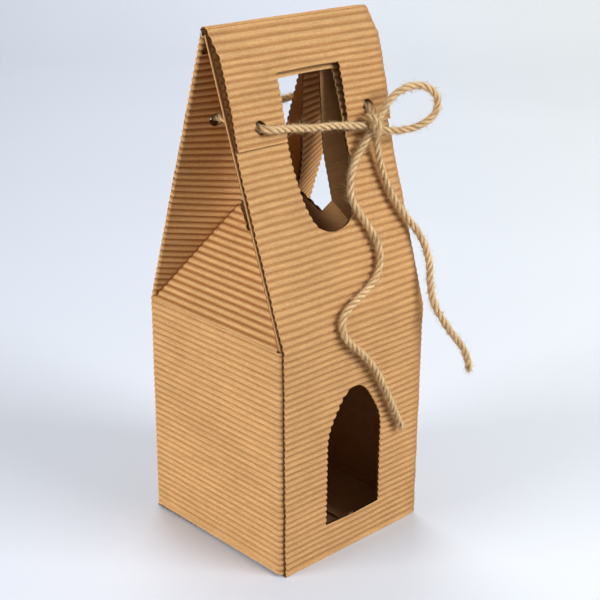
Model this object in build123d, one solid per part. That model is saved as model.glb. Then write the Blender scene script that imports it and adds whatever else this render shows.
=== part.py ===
from build123d import *
import math
import os

os.makedirs("parts", exist_ok=True)

# Millimetres, +Z up. The origin is the middle of the base, and the front looks along -Y.
# A gift carton with a gable top, folded from one sheet of single-face corrugated board.
# The flutes are on the outside and run level round the body.

# Board
board_thickness = 1.6
liner_thickness = 0.4
fold_bead_share = 0.85

# Carton, outer sizes
box_width = 95.0
box_depth = 98.5
shoulder_height = 119.0
total_height = 260.0
ridge_width = 100.5
ridge_radius = 3.05
strip_setback = 0.6
side_fold_radius = 1.6
glue_sink = 0.15
body_flutes = 36
bottom_flutes = 29
bottom_flat_share = 0.42
roof_flutes = 42
ridge_flutes = 2

# Front roof panel and the closing flap that lies over it. A drop is measured down from the total height.
front_top_drop = 9.0
flap_end_drop = 52.8
flap_knee_drop = 34.0
flap_bulge_drop = 12.5
flap_end_gap = 0.2
flap_knee_gap = 2.2
flap_bulge_gap = 2.9
flap_flutes = (3, 7, 6)
front_flutes = 40

# Side panels, returns, bottom flaps, gussets and webs
return_width = 9.0
bottom_flap_width = 36.0
bottom_flap_flutes = 11
gusset_lean = 61.2
fold_gap = 0.5
web_width = 33.0
web_top_drop = 12.2755
web_top_turn = 2.0
edge_fold_overlap = 9.0
gusset_flutes = 17
web_flutes = 23
crush_width = 2.4
crease_radius = 0.55
notch_depth = 9.5
notch_width = 12.0
notch_round = 3.2

# Windows and string holes
lower_window_width = 36.6
lower_window_sill = 18.4
lower_window_spring = 60.0
lower_window_top = 88.6
lower_arch_share = ((0.93, 0.31), (0.69, 0.61), (0.37, 0.90))
upper_window_width = 36.4
upper_window_bottom_drop = 96.8
upper_window_spring_drop = 61.4
upper_window_top_drop = 25.9
upper_arch_share = ((0.94, 0.36), (0.82, 0.66), (0.55, 0.91))
flap_window_width = 38.8
flap_window_top_drop = 22.6
string_hole_diameter = 6.4
string_hole_spacing = 68.0
string_hole_drop = 44.5

# Twine
twine_diameter = 3.8
twine_sides = 8
knot_wraps = (
    (4.9, (0, 0, 0), (0, 80, 0)),
    (4.4, (0, -0.6, 0.3), (70, 0, 18)),
    (4.4, (0.4, -0.3, -0.2), (35, 40, 0)),
)
rim_share = 0.3
arc_share = 0.45

overrun = 5.0
flat_tolerance = 1e-6

half_w = box_width / 2
half_d = box_depth / 2
liner_x = half_w - board_thickness
liner_y = half_d - board_thickness
bead_radius = board_thickness * fold_bead_share
ridge_z = total_height - ridge_radius
ridge_inner = ridge_radius - board_thickness
flap_end_height = total_height - flap_end_drop
flap_knee_height = total_height - flap_knee_drop
flap_bulge_height = total_height - flap_bulge_drop
upper_window_bottom = total_height - upper_window_bottom_drop
upper_window_spring = total_height - upper_window_spring_drop
upper_window_top = total_height - upper_window_top_drop
flap_window_top = total_height - flap_window_top_drop
string_hole_height = total_height - string_hole_drop
web_top = total_height - web_top_drop


def lean_to_ridge(y, z, radius):
    """The lean from upright of a line from (y, z) that touches a circle round the ridge's centre."""
    return math.atan2(y, ridge_z - z) - math.asin(radius / math.hypot(y, ridge_z - z))


roof_lean = lean_to_ridge(half_d, shoulder_height, ridge_radius)
roof_slope = math.tan(roof_lean)
roof_out = (math.cos(roof_lean), math.sin(roof_lean))
fold_height = shoulder_height - board_thickness * math.tan(roof_lean / 2)
flare = (ridge_width - box_width) / 2 / (total_height - shoulder_height)


def unit(vector):
    size = math.sqrt(sum(c * c for c in vector))
    return tuple(c / size for c in vector)


def add(point, *steps):
    """The point moved by each (vector, distance) in turn."""
    for vector, distance in steps:
        point = tuple(a + b * distance for a, b in zip(point, vector))
    return point


def dot(a, b):
    return sum(x * y for x, y in zip(a, b))


def cross(a, b):
    return (a[1] * b[2] - a[2] * b[1], a[2] * b[0] - a[0] * b[2], a[0] * b[1] - a[1] * b[0])


def minus(a, b):
    return tuple(x - y for x, y in zip(a, b))


def flute_marks(flutes, flat_share=0):
    """The corners of the flutes along a unit length, as (share, height over the liner's inner face).
    flat_share is how much of a flute's pitch is pressed flat at its crest."""
    marks = []
    for i in range(flutes):
        if flat_share > 0:
            marks.append(((i + flat_share / 2) / flutes, board_thickness))
        elif i > 0:
            marks.append((i / flutes, board_thickness))
        marks.append(((i + 0.5) / flutes, liner_thickness))
        if flat_share > 0:
            marks.append(((i + 1 - flat_share / 2) / flutes, board_thickness))
    return marks


def ribbon(corners, flutes, flat_shares):
    """The section of a folded ribbon of board. The flutes are to the right of the way it runs."""
    outs = []
    for p, q in zip(corners, corners[1:]):
        along = unit(minus(q, p))
        outs.append((along[1], -along[0]))
    outer = [add(corners[0], (outs[0], board_thickness))]
    for k, out in enumerate(outs):
        start, end = corners[k], corners[k + 1]
        for share, height in flute_marks(flutes[k], flat_shares[k]):
            outer.append(add(start, (minus(end, start), share), (out, height)))
        if k + 1 < len(outs):
            both = add(out, (outs[k + 1], 1))
            outer.append(add(end, (both, bead_radius / (1 + dot(out, outs[k + 1])))))
        else:
            outer.append(add(end, (out, board_thickness)))
    return outer + list(reversed(corners))


def section_solid(plane, points, start, stop):
    """The closed outline on the plane, extruded along the plane's normal from start to stop."""
    placed = plane.offset(start)
    corners = [placed.from_local_coords(Vector(p[0], p[1], 0)) for p in points]
    face = Face(Wire.make_polygon(corners, close=True))
    return Solid.extrude(face, placed.z_dir * (stop - start))


def patch(corners):
    """One flat face through four corners, or two triangles where they don't lie flat."""
    normal = cross(minus(corners[1], corners[0]), minus(corners[2], corners[0]))
    size = math.sqrt(dot(normal, normal))
    lift = abs(dot(normal, minus(corners[3], corners[0])))
    if size > 0 and lift < size * flat_tolerance:
        return [Face(Wire.make_polygon([Vector(*c) for c in corners], close=True))]
    halves = ((0, 1, 2), (0, 2, 3))
    return [Face(Wire.make_polygon([Vector(*corners[i]) for i in half], close=True)) for half in halves]


def skin(sections):
    """A solid between matching closed sections, with flat ends."""
    faces = []
    for near, far in zip(sections, sections[1:]):
        for i in range(len(near)):
            j = (i + 1) % len(near)
            faces += patch([near[i], near[j], far[j], far[i]])
    for end in (sections[0], sections[-1]):
        faces.append(Face(Wire.make_polygon([Vector(*c) for c in end], close=True)))
    solid = Solid(Shell(faces))
    return solid


def hoop(path, profile):
    """Board that follows a path in plan, with a mitre at each turn. The flutes are to the left."""
    outs = []
    for p, q in zip(path, path[1:]):
        along = unit(minus(q, p))
        outs.append((-along[1], along[0]))
    sections = []
    for k, point in enumerate(path):
        before, after = outs[max(k - 1, 0)], outs[min(k, len(outs) - 1)]
        miter = add((0, 0), (add(before, (after, 1)), 1 / (1 + dot(before, after))))
        sections.append([(*add(point, (miter, height)), z) for z, height in profile])
    return skin(sections)


def plate(corner, across, along, out, length, starts, ends, flutes, crush, first, last):
    """A flat piece of board. Its flutes run across, from the starts line to the ends line,
    which each go from the first value to the second over the length. crush says which of
    the two ends are pressed flat, as at a fold."""
    rows = [(first * length, board_thickness)]
    for share, height in flute_marks(flutes):
        rows.append(((first + share * (last - first)) * length, height))
    rows.append((last * length, board_thickness))

    def station(line, inset, pressed):
        loop = []
        for v, height in rows:
            u = line(v) + inset * min(crush_width, (ends_at(v) - starts_at(v)) / 3)
            loop.append(add(corner, (across, u), (along, v), (out, liner_thickness if pressed else height)))
        for v, height in (rows[-1], rows[0]):
            u = line(v) + inset * min(crush_width, (ends_at(v) - starts_at(v)) / 3)
            loop.append(add(corner, (across, u), (along, v)))
        return loop

    def starts_at(v):
        return starts[0] + (starts[1] - starts[0]) * v / length

    def ends_at(v):
        return ends[0] + (ends[1] - ends[0]) * v / length

    stations = [station(starts_at, 0, crush[0])]
    if crush[0]:
        stations.append(station(starts_at, 1, False))
    if crush[1]:
        stations.append(station(ends_at, -1, False))
    stations.append(station(ends_at, 0, crush[1]))
    return skin(stations)


def rod(start, end, radius):
    """A crease: a slim eight-sided bar from start to end."""
    way = unit(minus(end, start))
    plane = Plane(origin=Vector(*start), z_dir=Vector(*way))
    outline = [(radius * math.cos(math.tau * i / 8), radius * math.sin(math.tau * i / 8)) for i in range(8)]
    return section_solid(plane, outline, 0, math.dist(start, end))


# Strip: front roof, front body, bottom, back body, back roof, ridge and closing flap
def roof_inner(z, offset=0):
    """How far out the slope's inner line lies at height z."""
    return liner_y - (z - fold_height) * roof_slope - offset / roof_out[0]


def over_front(z, gap):
    """A point of the flap's liner over the front roof panel, with a gap under it."""
    y = roof_inner(z) + (board_thickness + gap) / roof_out[0]
    return (-y, z)


front_top = total_height - front_top_drop
bulge_point = over_front(flap_bulge_height, flap_bulge_gap)
knee_point = over_front(flap_knee_height, flap_knee_gap)
end_point = over_front(flap_end_height, flap_end_gap)
flap_lean = lean_to_ridge(-bulge_point[0], bulge_point[1], ridge_inner)
ridge_turns = 3
ridge_corners = []
for i in range(ridge_turns + 1):
    angle = roof_lean + (math.pi - roof_lean - flap_lean) * i / ridge_turns
    ridge_corners.append((ridge_inner * math.cos(angle), ridge_z + ridge_inner * math.sin(angle)))

strip_corners = [
    (-roof_inner(front_top), front_top),
    (-liner_y, fold_height),
    (-liner_y, board_thickness),
    (liner_y, board_thickness),
    (liner_y, fold_height),
    *ridge_corners,
    bulge_point,
    knee_point,
    end_point,
]
strip_flutes = [front_flutes, body_flutes, bottom_flutes, body_flutes, roof_flutes]
strip_flutes += [1] * ridge_turns + list(flap_flutes)
# The bottom's crests are pressed flat under the load, so the carton stands on them
strip_flats = [0, 0, bottom_flat_share] + [0] * (len(strip_flutes) - 3)
widest = ridge_width / 2 + overrun
strip = section_solid(Plane.YZ, ribbon(strip_corners, strip_flutes, strip_flats), -widest, widest)


def side_trim(edge, front, back, low):
    """What lies beyond the side edges, which flare above the shoulder, from front to back."""
    high = total_height + overrun
    flared = edge + flare * (high - fold_height)
    right = [(edge, low), (edge, fold_height), (flared, high), (widest + overrun, high), (widest + overrun, low)]
    left = [(-x, z) for x, z in right]
    return [section_solid(Plane.XZ, side, -back, -front) for side in (right, left)]


for tool in side_trim(half_w - strip_setback, -half_d - overrun, half_d + overrun, -overrun):
    strip = strip - tool

# The back roof and back body fold into the webs and side panels, so they end short of the edge
back_edge = liner_x
for tool in side_trim(back_edge, roof_inner(ridge_z) + liner_thickness, half_d + overrun, board_thickness):
    strip = strip - tool
corner_edge = liner_x - side_fold_radius - glue_sink
back_corner = [(0, board_thickness), (half_d + overrun, board_thickness)]
back_corner += [(half_d + overrun, fold_height), (0, fold_height)]
for low, high in ((-widest, -corner_edge), (corner_edge, widest)):
    strip = strip - section_solid(Plane.YZ, back_corner, low, high)


# Windows
def arched_window(width, spring, tip, flat_end, shares):
    """A window outline with a flat end and a drawn-out arch from the spring line to the tip."""
    half = width / 2
    rise = tip - spring
    turn = 1 if rise > 0 else -1
    bend = [(half * across, spring + rise * up) for across, up in shares]
    right = Spline((half, spring), *bend, (0, tip), tangents=[(0, turn), (-1, 0)])
    left = mirror(right, about=Plane.YZ)
    base = Polyline((half, spring), (half, flat_end), (-half, flat_end), (-half, spring))
    return make_face([right, left, base])


def through(outline, front, back):
    """The outline, drawn as seen from the front, as a bar from front to back."""
    return extrude(Plane.XZ.offset(-back) * outline, amount=back - front)


lower_window = arched_window(
    lower_window_width, lower_window_spring, lower_window_top, lower_window_sill, lower_arch_share)
upper_window = arched_window(
    upper_window_width, upper_window_spring, upper_window_bottom, upper_window_top, upper_arch_share)
strip = strip - through(lower_window, -half_d - overrun, 0)

front_of_flap = -half_d - overrun
inside_flap = []
for z in (flap_end_height - overrun, flap_window_top):
    y, z = over_front(z, flap_end_gap / 2)
    inside_flap.append((y, z))
inside_flap += [(front_of_flap, flap_window_top), (front_of_flap, flap_end_height - overrun)]
strip = strip - section_solid(Plane.YZ, inside_flap, -flap_window_width / 2, flap_window_width / 2)

behind_flap = []
for z in (upper_window_bottom - overrun, upper_window_top + overrun):
    y, z = over_front(z, flap_end_gap / 2)
    behind_flap.append((y, z))
behind_flap += [(half_d + overrun, z), (half_d + overrun, upper_window_bottom - overrun)]
layers = section_solid(Plane.YZ, behind_flap, -half_w, half_w)
strip = strip - (through(upper_window, -half_d - overrun, half_d + overrun) & layers)

# Side assembly, made for the left side and mirrored: returns, side panel, bottom flap, gusset and webs
side_front = -half_d + 2 * board_thickness - glue_sink
side_back = liner_y
side_middle = (side_front + side_back) / 2
side_profile = [(board_thickness, 0), (board_thickness, board_thickness)]
body_rise = fold_height - board_thickness
side_profile += [(board_thickness + share * body_rise, height) for share, height in flute_marks(body_flutes)]
side_profile += [(fold_height, board_thickness), (fold_height, 0)]
side_path = [
    (-liner_x + return_width, side_front),
    (-liner_x + side_fold_radius, side_front),
    (-liner_x, side_front + side_fold_radius),
    (-liner_x, side_back - side_fold_radius),
    (-liner_x + side_fold_radius, side_back),
    (-corner_edge, side_back),
]
side_panel = hoop(side_path, side_profile)

side_foot = 2 * board_thickness - glue_sink
flap_way = [(liner_x, side_foot), (liner_x - bottom_flap_width, side_foot)]
flap_section = [(-x, z) for x, z in ribbon(list(reversed(flap_way)), [bottom_flap_flutes], [0])]
flap_front = side_front + side_fold_radius
flap_back = side_back - side_fold_radius
bottom_flap = section_solid(Plane.XZ, flap_section, -flap_back, -flap_front)
foot_bead = rod((-liner_x, flap_front, side_foot), (-liner_x, flap_back, side_foot), bead_radius)

# The gusset hinges on the shoulder line. Its creases to the webs follow from the two slopes.
lean = math.radians(gusset_lean)
gusset_up = (math.cos(lean), 0, math.sin(lean))
gusset_out = (-math.sin(lean), 0, math.cos(lean))
edge_way = unit((-flare, -roof_slope, 1))
crease_slope = -edge_way[1] / (1 - edge_way[0] * gusset_up[0] - edge_way[2] * gusset_up[2])
gusset_height = crease_slope * web_width
back_corner_point = (-liner_x, side_back - fold_gap, fold_height)
web_length = (web_top - fold_height) / edge_way[2]
gusset_depth = 2 * (back_corner_point[1] - side_middle)
gusset = plate(
    back_corner_point, (0, -1, 0), gusset_up, gusset_out, gusset_height,
    (0, web_width), (gusset_depth, gusset_depth - web_width), gusset_flutes, (True, True), 0, 1)

notch_half = gusset_depth / 2 - web_width
notch_low = gusset_height - notch_depth
notch_plane = Plane(
    origin=Vector(-liner_x, side_middle, fold_height), x_dir=Vector(0, -1, 0), z_dir=Vector(*gusset_out))
notch_left = (-notch_width / 2, notch_low)
notch_right = (notch_width / 2, notch_low)
notch_top = gusset_height + overrun
notch_sides = Polyline(
    notch_left, (-notch_half, gusset_height), (-notch_half, notch_top),
    (notch_half, notch_top), (notch_half, gusset_height), notch_right)
notch_face = make_face([notch_sides, ThreePointArc(notch_left, (0, notch_low - notch_round), notch_right)])
gusset = gusset - extrude(notch_plane * notch_face, amount=overrun, both=True)

# Each web is flat beside the gusset. Above it the web turns to lie along the roof, as two flat triangles.
crease_way = unit((crease_slope * gusset_up[0], -1, crease_slope * gusset_up[2]))
web_across = unit(add(crease_way, (edge_way, -dot(crease_way, edge_way))))
web_out = cross(web_across, edge_way)
knee_edge = add(back_corner_point, (edge_way, gusset_height))
knee_free = add(knee_edge, (web_across, web_width))
top_edge = add(back_corner_point, (edge_way, web_length))
top_turn = math.radians(web_top_turn)
top_flat = (math.cos(top_turn), -math.sin(top_turn), 0)
top_across = unit(add(top_flat, (edge_way, -dot(top_flat, edge_way))))
top_free = add(top_edge, (top_across, web_width))
upper_length = web_length - gusset_height
upper_out = unit(cross(top_across, edge_way))
free_way = unit(minus(top_free, knee_free))
free_length = math.dist(top_free, knee_free)
middle_out = unit(cross(web_across, free_way))
web_pitch = gusset_height / gusset_flutes
tip_share = 0.03

lower_web = plate(back_corner_point, web_across, edge_way, web_out, gusset_height,
                  (0, 0), (0, web_width), gusset_flutes, (True, True), tip_share, 1)
middle_web = plate(knee_edge, web_across, free_way, middle_out, free_length,
                   (0, web_width), (web_width, web_width), web_flutes, (False, False), 0, 1 - tip_share)
upper_web = plate(knee_edge, top_across, edge_way, upper_out, upper_length,
                  (0, 0), (0, web_width), web_flutes, (True, False), tip_share, 1)


# The narrow return that the front web hangs on, glued behind the front roof with its flutes pressed
def return_section(z):
    """The return's outline in plan at height z."""
    back = -(roof_inner(z) - (side_front + liner_y))
    front = back - board_thickness / roof_out[0]
    outer = -liner_x - flare * (z - fold_height)
    inner = -liner_x + return_width
    return [(outer, back, z), (inner, back, z), (inner, front, z), (outer, front, z)]


roof_return = skin([return_section(fold_height), return_section(web_top)])

# Folds and creases
bead_top = add(back_corner_point, (edge_way, web_length + edge_fold_overlap))
half_board = board_thickness / 2
edge_bead = rod(back_corner_point, bead_top, bead_radius)
hinge_bead = rod((-liner_x, flap_front, fold_height), (-liner_x, flap_back, fold_height), bead_radius)
crease_end = add(back_corner_point, (crease_way, gusset_height * math.hypot(1, 1 / crease_slope)))
crease_bead = rod(back_corner_point, crease_end, crease_radius)
knee_radius = half_board + glue_sink
knee_bead = rod(add(knee_edge, (web_out, half_board)), add(knee_free, (web_out, half_board)), knee_radius)
turn_bead = rod(add(knee_edge, (middle_out, half_board)), add(top_free, (middle_out, half_board)), half_board)

back_fold = [lower_web, middle_web, upper_web, edge_bead, crease_bead, knee_bead, turn_bead]
middle_plane = Plane.XZ.offset(-side_middle)
front_fold = [piece.mirror(middle_plane) for piece in back_fold]
left_side = [side_panel, bottom_flap, foot_bead, hinge_bead, gusset, roof_return] + back_fold + front_fold
right_side = [piece.mirror(Plane.YZ) for piece in left_side]
carton = strip.fuse(*left_side, *right_side)

hole_bar = extrude(Plane.XZ * Circle(string_hole_diameter / 2), amount=half_d + overrun, both=True)
for x in (-string_hole_spacing / 2, string_hole_spacing / 2):
    carton = carton - Pos(x, 0, string_hole_height) * hole_bar

# Twine: one piece through the four holes, knotted at the front with one loop and two free tails.
# Its routes stay as they lie on the carton.
tie_route = [
    (26.5, -25.6, 208.2), (19.0, -24.2, 209.0), (8.5, -23.4, 210.8), (-5.0, -23.0, 211.6), (-16.5, -22.6, 213.4),
    (-25.5, -22.7, 214.4), (-33.9, -23.6, 215.4), (-34.2, -15.0, 215.6), (-33.9, -4.5, 215.4), (-34.2, 4.0, 215.6),
    (-33.9, 11.8, 215.4), (-34.2, 20.4, 215.6), (-25.5, 20.3, 215.4), (-12.5, 19.8, 214.8), (2.0, 19.7, 215.2),
    (14.5, 19.9, 214.8), (25.5, 20.3, 215.4), (34.1, 20.4, 215.6), (33.9, 11.8, 215.4), (34.1, 3.0, 215.6),
    (33.9, -7.0, 215.4), (34.1, -15.0, 215.6), (33.8, -23.4, 214.8), (31.6, -27.2, 210.0),
]
loop_route = [
    (31.8, -28.0, 210.4), (34.8, -28.9, 214.2), (37.4, -30.0, 219.6), (43.0, -32.6, 224.6), (51.4, -36.6, 226.3),
    (58.3, -39.9, 222.6), (60.9, -41.0, 215.7), (57.8, -39.6, 209.0), (50.4, -36.0, 205.2), (43.3, -32.7, 204.2),
    (37.2, -29.8, 204.8), (32.6, -28.2, 206.0),
]
first_tail_route = [
    (29.2, -27.4, 206.0), (25.2, -26.6, 200.6), (18.6, -27.4, 194.0), (12.8, -29.8, 186.8), (9.6, -33.0, 177.2),
    (14.8, -35.9, 167.6), (20.4, -38.8, 158.6), (22.4, -41.8, 149.6), (18.6, -44.5, 140.8), (10.6, -46.4, 136.0),
    (1.2, -47.6, 132.8), (-8.4, -49.0, 129.0), (-12.6, -50.8, 123.0), (-9.8, -52.2, 115.8), (-1.2, -52.0, 108.2),
    (8.6, -52.4, 97.6), (16.6, -51.9, 84.4), (23.6, -52.4, 70.2), (30.2, -52.0, 57.9),
]
second_tail_route = [
    (31.2, -27.8, 205.0), (32.2, -27.9, 196.9), (33.2, -29.8, 188.1), (35.4, -32.9, 177.6), (39.6, -36.0, 168.2),
    (46.0, -39.8, 158.6), (50.4, -44.0, 150.0), (50.6, -48.2, 140.8), (47.2, -52.2, 131.8), (45.2, -55.8, 122.9),
    (48.7, -59.2, 113.8), (55.0, -62.6, 103.3), (62.4, -65.1, 93.8), (64.5, -66.0, 84.1),
]
knot_centre = (30.6, -27.4, 208.0)


def corner_radii(route):
    """One radius for each turn of the route, as large as its two runs allow."""
    radii = []
    for a, b, c in zip(route, route[1:], route[2:]):
        turn = math.radians((Vector(*b) - Vector(*a)).get_angle(Vector(*c) - Vector(*b)))
        radii.append(arc_share * min(math.dist(a, b), math.dist(b, c)) / math.tan(turn / 2))
    return radii


def tube(name, route):
    """A tube along the route, its turns rounded by tangent arcs. Its section is round, in a few flat sides."""
    radii = corner_radii(route)
    path = FilletPolyline(*route, radius=radii)
    section = Plane(origin=path @ 0, z_dir=path % 0) * RegularPolygon(twine_diameter / 2, twine_sides)
    solid = sweep(section, path=path)
    by_length = path.length * section.area
    print(name, "length", round(path.length, 1), "least radius", round(min(radii), 1))
    print(name, "volume", round(solid.volume, 1), "section times length", round(by_length, 1))
    print(name, "radii", [round(r, 1) for r in radii])
    return solid


def knot_wrap(radius, place, turn):
    """One wrap of the knot: a disc as thick as the twine, with a bevelled rim."""
    disc = Cylinder(radius, twine_diameter)
    disc = chamfer(disc.edges().filter_by(GeomType.CIRCLE), twine_diameter * rim_share)
    return Pos(*knot_centre) * Pos(*place) * Rotation(*turn) * disc


twine_knot = knot_wrap(*knot_wraps[0])
for radius, place, turn in knot_wraps[1:]:
    twine_knot += knot_wrap(radius, place, turn)
pieces = {"twine_knot": twine_knot}
for name, route in (
    ("twine_tie", tie_route), ("twine_loop", loop_route),
    ("twine_tail_1", first_tail_route), ("twine_tail_2", second_tail_route),
):
    solid = tube(name, route)
    for laid_before in list(pieces.values()):
        solid = solid - laid_before
    pieces[name] = solid
pieces["carton"] = carton
for name, solid in pieces.items():
    export_step(solid, f"parts/{name}.step")
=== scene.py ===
import math
import random

import bpy
from mathutils import Matrix, Vector, noise


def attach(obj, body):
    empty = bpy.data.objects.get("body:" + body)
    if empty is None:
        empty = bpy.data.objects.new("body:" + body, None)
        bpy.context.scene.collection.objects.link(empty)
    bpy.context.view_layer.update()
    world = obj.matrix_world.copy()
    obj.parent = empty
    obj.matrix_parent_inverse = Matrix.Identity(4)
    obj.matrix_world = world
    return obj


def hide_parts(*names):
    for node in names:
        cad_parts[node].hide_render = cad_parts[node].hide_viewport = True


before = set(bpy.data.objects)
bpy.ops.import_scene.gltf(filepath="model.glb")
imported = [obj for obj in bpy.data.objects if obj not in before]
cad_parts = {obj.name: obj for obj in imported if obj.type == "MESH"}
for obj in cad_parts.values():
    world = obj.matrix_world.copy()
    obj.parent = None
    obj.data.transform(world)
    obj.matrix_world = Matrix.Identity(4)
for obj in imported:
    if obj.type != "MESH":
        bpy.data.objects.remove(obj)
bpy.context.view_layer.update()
random.seed(7)

# Lengths of the carton and the twine are in millimetres, as on the drawing, and MM turns them into metres.
MM = 0.001

# Board: a flat liner with a wavy sheet bonded to it, so each flute is a tunnel
BOARD = 1.6
LINER = 0.28
SHEET = 0.2
WAVE = 0.8
WAVE_SHARE = 0.93
WAVE_STEPS = 10
VALLEY_POWER = 1.7
# A dark sheet this far into each tunnel, over this share of its height, is painted shade.
TUNNEL = 1.8
TUNNEL_SHADE_SHARE = 0.9
PLAIN_CREST = 0.6

# Carton
WIDTH = 95.0
DEPTH = 98.5
SHOULDER = 119.0
HEIGHT = 260.0
RIDGE_WIDTH = 100.5
RIDGE_RADIUS = 3.05
STRIP_SETBACK = 0.6
SIDE_FOLD = 1.6
BEND = 1.0
GLUE_SINK = 0.15
FRONT_TOP_DROP = 9.0
FLAP_HEIGHTS = (247.5, 226.0, 207.2)
FLAP_GAPS = (2.9, 2.2, 0.2)
RETURN_WIDTH = 9.0
RETURN_SETBACK = 1.0
RETURN_SINKS = (0.2, 0.4)
BOTTOM_FLAP = 36.0
GUSSET_LEAN = 61.2
FOLD_GAP = 0.5
WEB_WIDTH = 33.0
WEB_LENGTH = 136.0
WEB_TOP_TURN = 2.0
NOTCH_DEPTH = 9.5
NOTCH_WIDTH = 5.0
NOTCH_ROUND = 2.0

# Flutes of each panel
BODY_FLUTES = 36
BOTTOM_FLUTES = 29
ROOF_FLUTES = 42
FRONT_FLUTES = 40
FLAP_FLUTES = (3, 7, 6)
BOTTOM_FLAP_FLUTES = 11
GUSSET_FLUTES = 17
WEB_FLUTES = 23
RETURN_FLUTES = 3

# How the folded box strays from square, and how its flutes are crushed along creases, edges and folds
ASKEW = 1.6
BACK_BOW = 1.5
CRUSH = 2.4
EDGE_CRUSH = 2.6
EDGE_PRESS = 0.4
FOLD_PRESS = 0.5
# How strongly painted shade darkens the valleys of the body's flutes
BODY_VALLEY_SHADE = 0.6

# Rounding of the folds
FOLD_REACH = 1.5
MITRE_SHARE = 0.9
RIDGE_TURNS = 6
BEND_STEPS = 6
ROUND_STEPS = 8
SIDE_FOLD_SHARE = 0.86
SIDE_FOLD_TURNS = (90, 290)
EDGE_FOLD_TURN = 170
PRESSED_FOLD = 0.45
PRESSED_WAVE = 0.08
# Pressed folds take a colour close to the crests' painted highlight.
PRESSED_CREST = 0.8

# Columns of faces across the panels. A panel of the strip has two halves, each cut in two by its string hole.
HALF_COLUMNS = 5
INNER_COLUMNS = 4
OUTER_COLUMNS = 3
EDGE_COLUMNS = 8
WALL_COLUMN = 9.0
BOTTOM_FLAP_COLUMNS = 8
GUSSET_COLUMNS = 14
WEB_COLUMNS = 8

# Windows and string holes. An arch goes from its spring line to its tip, and flat is the straight end.
LOWER_WINDOW = dict(
    half=18.3, spring=60.0, tip=88.6, flat=18.4,
    shares=((0.93, 0.31), (0.69, 0.61), (0.37, 0.90)))
UPPER_WINDOW = dict(
    half=18.2, spring=198.6, tip=163.2, flat=234.1,
    shares=((0.94, 0.36), (0.82, 0.66), (0.55, 0.91)))
ARCH_STEPS = 12
FLAP_WINDOW_HALF = 19.4
FLAP_WINDOW_TOP = 237.4
HOLE_RADIUS = 3.2
HOLE_X = 34.0
HOLE_Z = 215.5

half_w = WIDTH / 2
half_d = DEPTH / 2
liner_x = half_w - BOARD
liner_y = half_d - BOARD
strip_half = half_w - STRIP_SETBACK
ridge_z = HEIGHT - RIDGE_RADIUS
ridge_inner = RIDGE_RADIUS - BOARD


def lean_to_ridge(y, z, radius):
    """The lean from upright of a line from (y, z) that touches a circle round the ridge's centre."""
    return math.atan2(y, ridge_z - z) - math.asin(radius / math.hypot(y, ridge_z - z))


roof_lean = lean_to_ridge(half_d, SHOULDER, RIDGE_RADIUS)
roof_slope = math.tan(roof_lean)
fold_z = SHOULDER - BOARD * math.tan(roof_lean / 2)
flare = (RIDGE_WIDTH - WIDTH) / 2 / (HEIGHT - SHOULDER)


def smooth(t):
    t = min(max(t, 0), 1)
    return t * t * (3 - 2 * t)


def wobble(point, size, amount):
    """A small uneven shift of up to about half the amount, which changes over the given size."""
    return noise.noise(Vector(point) / size) * amount


# Meshes, with the place on the flat sheet or strand and the height in the relief kept at each point

def make_piece(name, points, faces, crests, flows):
    mesh = bpy.data.meshes.new(name)
    mesh.from_pydata(points, [], faces)
    crest = mesh.attributes.new("crest", "FLOAT", "POINT")
    crest.data.foreach_set("value", crests)
    flow = mesh.attributes.new("flow", "FLOAT_VECTOR", "POINT")
    flow.data.foreach_set("vector", [c for place in flows for c in place])
    mesh.polygons.foreach_set("use_smooth", [True] * len(faces))
    mesh.update()
    piece = bpy.data.objects.new(name, mesh)
    bpy.context.collection.objects.link(piece)
    return piece


# Board surfaces

# The last kind of face is painted shade, a dark sheet inside each flute tunnel.
FLUTED, LINER_SIDE, CUT, TUNNEL_SHADE = 0, 1, 2, 3


def bowed(point):
    """The left side stands a little out at the back, as the folded box isn't quite square."""
    x, y, z = point
    return Vector((x - BACK_BOW * (0.5 + y / DEPTH) * min(max(-x / half_w, 0), 1), y, z))


class Board:
    """Collects the faces of a piece of the carton: fluted outsides, flat liners and cut edges."""

    def __init__(self, seed):
        self.seed = seed
        self.points = []
        self.faces = []
        self.kinds = []
        self.crests = []
        self.flows = []

    def grid(self, rows, kind, crests=None, flows=None):
        """Faces between rows of points. crests is 1 on a flute's crest and 0 in its valley.
        flows holds the place on the flat sheet, along the flutes and across them."""
        first = len(self.points)
        count = len(rows[0])
        for r, row in enumerate(rows):
            for c, point in enumerate(row):
                self.points.append(bowed(point) * MM)
                self.crests.append(crests[r][c] if crests else PLAIN_CREST)
                along, across = flows[r][c] if flows else (point[0] + point[1], point[2])
                self.flows.append((along * MM, across * MM, self.seed))
        for r in range(len(rows) - 1):
            for c in range(count - 1):
                a = first + r * count + c
                self.faces.append((a, a + 1, a + count + 1, a + count))
                self.kinds.append(kind)

    def make(self, name):
        piece = make_piece(name, self.points, self.faces, self.crests, self.flows)
        piece.data.polygons.foreach_set("material_index", self.kinds)
        piece.data.update()
        return piece


def sheet_height(wave):
    """The outer face's height over the liner's inner face, for a wave of 0 in a valley to 1 on a crest."""
    return BOARD - WAVE + WAVE * wave


def wave_rows(start, end, flutes):
    """Rows (s, wave) from start to end over whole flutes, with a crest at both ends."""
    rows = []
    steps = flutes * WAVE_STEPS
    for i in range(steps + 1):
        valley = 0.5 - 0.5 * math.cos(math.tau * i / WAVE_STEPS)
        rows.append((start + (end - start) * i / steps, 1 - valley ** VALLEY_POWER))
    return rows


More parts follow.
